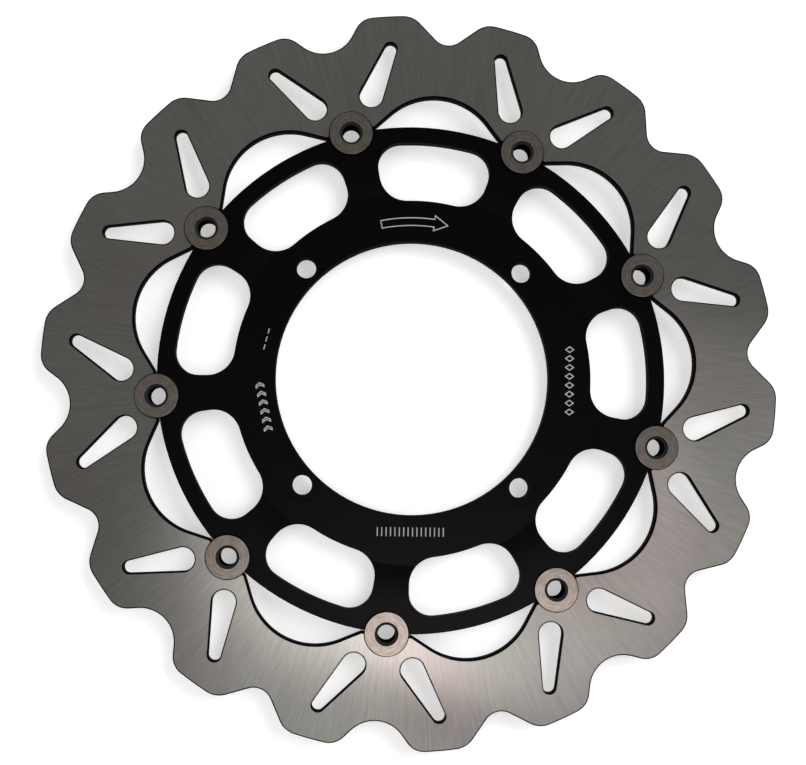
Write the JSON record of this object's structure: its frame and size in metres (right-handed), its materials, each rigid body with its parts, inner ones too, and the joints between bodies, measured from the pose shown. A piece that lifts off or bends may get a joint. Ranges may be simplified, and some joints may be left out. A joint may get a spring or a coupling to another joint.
{
  "type": "floating brake disc",
  "caption": "Two-piece floating motorcycle brake disc: wavy slotted steel friction ring on a black aluminium carrier, joined by hollow bobbins.",
  "frame": {"origin": "centre of the bore, on the carrier's flat mounting face", "axes": "+Z along the wheel axle towards the outboard face, the disc lies flat in XY, and a bolt hole lies at 45 degrees from +X"},
  "size_m": [0.3197, 0.3197, 0.0107],
  "materials": {
    "ring_steel": "radially ground stainless steel faces with dark side walls",
    "carrier_anodised": "satin black anodised aluminium",
    "bobbin_metal": "turned, hard anodised, fine concentric tool marks",
    "spring_steel": "rolled spring steel",
    "washer_steel": "zinc plated",
    "circlip_steel": "phosphated spring steel, dark grey"
  },
  "bodies": {
    "carrier": {"carrier": "carrier_anodised"},
    "ring": {"friction_ring": "ring_steel"},
    "bobbin_1": {"bobbin_1": "bobbin_metal", "wave_washer_1": "spring_steel", "flat_washer_1": "washer_steel", "circlip_1": "circlip_steel"},
    "bobbin_2": {"bobbin_2": "bobbin_metal", "wave_washer_2": "spring_steel", "flat_washer_2": "washer_steel", "circlip_2": "circlip_steel"},
    "bobbin_3": {"bobbin_3": "bobbin_metal", "wave_washer_3": "spring_steel", "flat_washer_3": "washer_steel", "circlip_3": "circlip_steel"},
    "bobbin_4": {"bobbin_4": "bobbin_metal", "wave_washer_4": "spring_steel", "flat_washer_4": "washer_steel", "circlip_4": "circlip_steel"},
    "bobbin_5": {"bobbin_5": "bobbin_metal", "wave_washer_5": "spring_steel", "flat_washer_5": "washer_steel", "circlip_5": "circlip_steel"},
    "bobbin_6": {"bobbin_6": "bobbin_metal", "wave_washer_6": "spring_steel", "flat_washer_6": "washer_steel", "circlip_6": "circlip_steel"},
    "bobbin_7": {"bobbin_7": "bobbin_metal", "wave_washer_7": "spring_steel", "flat_washer_7": "washer_steel", "circlip_7": "circlip_steel"},
    "bobbin_8": {"bobbin_8": "bobbin_metal", "wave_washer_8": "spring_steel", "flat_washer_8": "washer_steel", "circlip_8": "circlip_steel"},
    "bobbin_9": {"bobbin_9": "bobbin_metal", "wave_washer_9": "spring_steel", "flat_washer_9": "washer_steel", "circlip_9": "circlip_steel"}
  },
  "joints": [
    {"name": "ring_float", "type": "slide", "parent": "carrier", "child": "ring", "axis": [0, 0, 1], "range_m": [-0.0003, 0], "stiffness_N_per_m": 40000, "springref_m": 0.0003, "deforming": ["wave_washer_1", "wave_washer_2", "wave_washer_3", "wave_washer_4", "wave_washer_5", "wave_washer_6", "wave_washer_7", "wave_washer_8", "wave_washer_9"]},
    {"name": "bobbin_1_spin", "type": "hinge", "parent": "carrier", "child": "bobbin_1", "pos_m": [-0.07806, -0.07806, 0], "axis": [0, 0, 1], "continuous": true},
    {"name": "bobbin_2_spin", "type": "hinge", "parent": "carrier", "child": "bobbin_2", "pos_m": [-0.00962, -0.10998, 0], "axis": [0, 0, 1], "continuous": true},
    {"name": "bobbin_3_spin", "type": "hinge", "parent": "carrier", "child": "bobbin_3", "pos_m": [0.06332, -0.09043, 0], "axis": [0, 0, 1], "continuous": true},
    {"name": "bobbin_4_spin", "type": "hinge", "parent": "carrier", "child": "bobbin_4", "pos_m": [0.10664, -0.02857, 0], "axis": [0, 0, 1], "continuous": true},
    {"name": "bobbin_5_spin", "type": "hinge", "parent": "carrier", "child": "bobbin_5", "pos_m": [0.10006, 0.04666, 0], "axis": [0, 0, 1], "continuous": true},
    {"name": "bobbin_6_spin", "type": "hinge", "parent": "carrier", "child": "bobbin_6", "pos_m": [0.04666, 0.10006, 0], "axis": [0, 0, 1], "continuous": true},
    {"name": "bobbin_7_spin", "type": "hinge", "parent": "carrier", "child": "bobbin_7", "pos_m": [-0.02857, 0.10664, 0], "axis": [0, 0, 1], "continuous": true},
    {"name": "bobbin_8_spin", "type": "hinge", "parent": "carrier", "child": "bobbin_8", "pos_m": [-0.09043, 0.06332, 0], "axis": [0, 0, 1], "continuous": true},
    {"name": "bobbin_9_spin", "type": "hinge", "parent": "carrier", "child": "bobbin_9", "pos_m": [-0.10998, -0.00962, 0], "axis": [0, 0, 1], "continuous": true}
  ]
}
